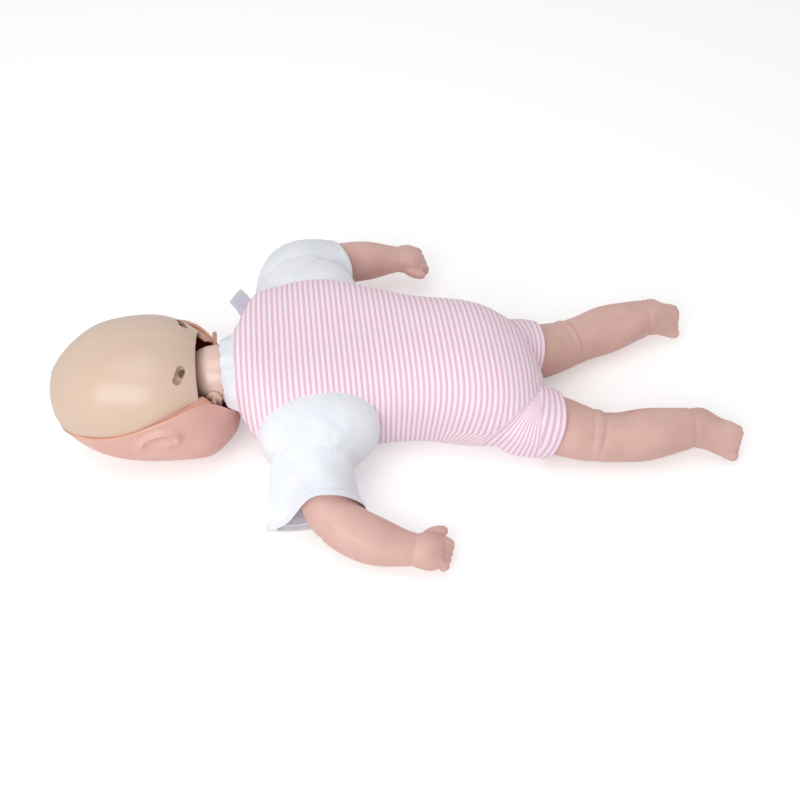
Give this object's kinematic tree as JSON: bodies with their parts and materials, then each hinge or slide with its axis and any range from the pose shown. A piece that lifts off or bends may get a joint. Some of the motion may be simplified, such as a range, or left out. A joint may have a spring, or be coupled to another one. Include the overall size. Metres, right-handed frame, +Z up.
{
  "type": "cpr training manikin",
  "caption": "Infant resuscitation manikin lying face down: hard skull cap over a soft face mask, tilting head, sprung chest plate, turning arms and legs, striped romper with white sleeves.",
  "frame": {"origin": "the flat spot under the chest on the floor, below the shoulder line's foot end, where the body lies face down", "axes": "+X from the neck towards the feet, +Y to the manikin's right, +Z up from the floor, out of its back"},
  "size_m": [0.5903, 0.3704, 0.1197],
  "materials": {
    "cap": "gloss",
    "screws": "satin",
    "face": "satin",
    "frame_plastic": "matte",
    "axle": "satin",
    "neck": "gloss",
    "tube": "satin",
    "limb": "satin",
    "spring": "satin",
    "romper": "matte",
    "sleeve": "matte",
    "lace": "matte",
    "ribbon": "satin"
  },
  "bodies": {
    "torso": {"neck_tube": "neck", "neck_flange": "neck", "airway_tube": "tube", "lung_bag": "tube", "torso_skin": "limb", "back_plate": "frame_plastic", "back_screws": "screws", "guide_post": "frame_plastic", "compression_spring": "spring", "romper_body": "romper", "collar_frill": "lace", "collar_bow": "ribbon"},
    "head": {"cranium_shell": "cap", "shell_screws": "screws", "face_skin": "face", "skull_frame": "frame_plastic", "head_axle": "axle", "mouth_nozzle": "frame_plastic"},
    "chest": {"chest_plate": "frame_plastic"},
    "left_arm": {"left_arm": "limb", "left_shoulder_plug": "frame_plastic", "left_sleeve": "sleeve"},
    "right_arm": {"right_arm": "limb", "right_shoulder_plug": "frame_plastic", "right_sleeve": "sleeve"},
    "left_leg": {"left_leg": "limb", "left_hip_plug": "frame_plastic", "left_romper_leg": "romper"},
    "right_leg": {"right_leg": "limb", "right_hip_plug": "frame_plastic", "right_romper_leg": "romper"}
  },
  "joints": [
    {"name": "head_tilt", "type": "hinge", "parent": "torso", "child": "head", "pos_m": [-0.161, 0, 0.068], "axis": [0, 1, 0], "range_deg": [0, 35]},
    {"name": "chest_press", "type": "slide", "parent": "torso", "child": "chest", "axis": [0, 0, 1], "range_m": [0, 0.035], "stiffness_N_per_m": 1500, "deforming": ["compression_spring"]},
    {"name": "left_shoulder", "type": "hinge", "parent": "torso", "child": "left_arm", "pos_m": [-0.075, -0.0576, 0.052], "axis": [0, 1, 0], "range_deg": [-90, 90]},
    {"name": "right_shoulder", "type": "hinge", "parent": "torso", "child": "right_arm", "pos_m": [-0.075, 0.0864, 0.052], "axis": [0, 1, 0], "range_deg": [-90, 90]},
    {"name": "left_hip", "type": "hinge", "parent": "torso", "child": "left_leg", "pos_m": [0.098, -0.0548, 0.038], "axis": [0.7071, -0.7071, 0], "range_deg": [-15, 90]},
    {"name": "right_hip", "type": "hinge", "parent": "torso", "child": "right_leg", "pos_m": [0.098, 0.0192, 0.038], "axis": [0.7071, 0.7071, 0], "range_deg": [-90, 15]}
  ]
}
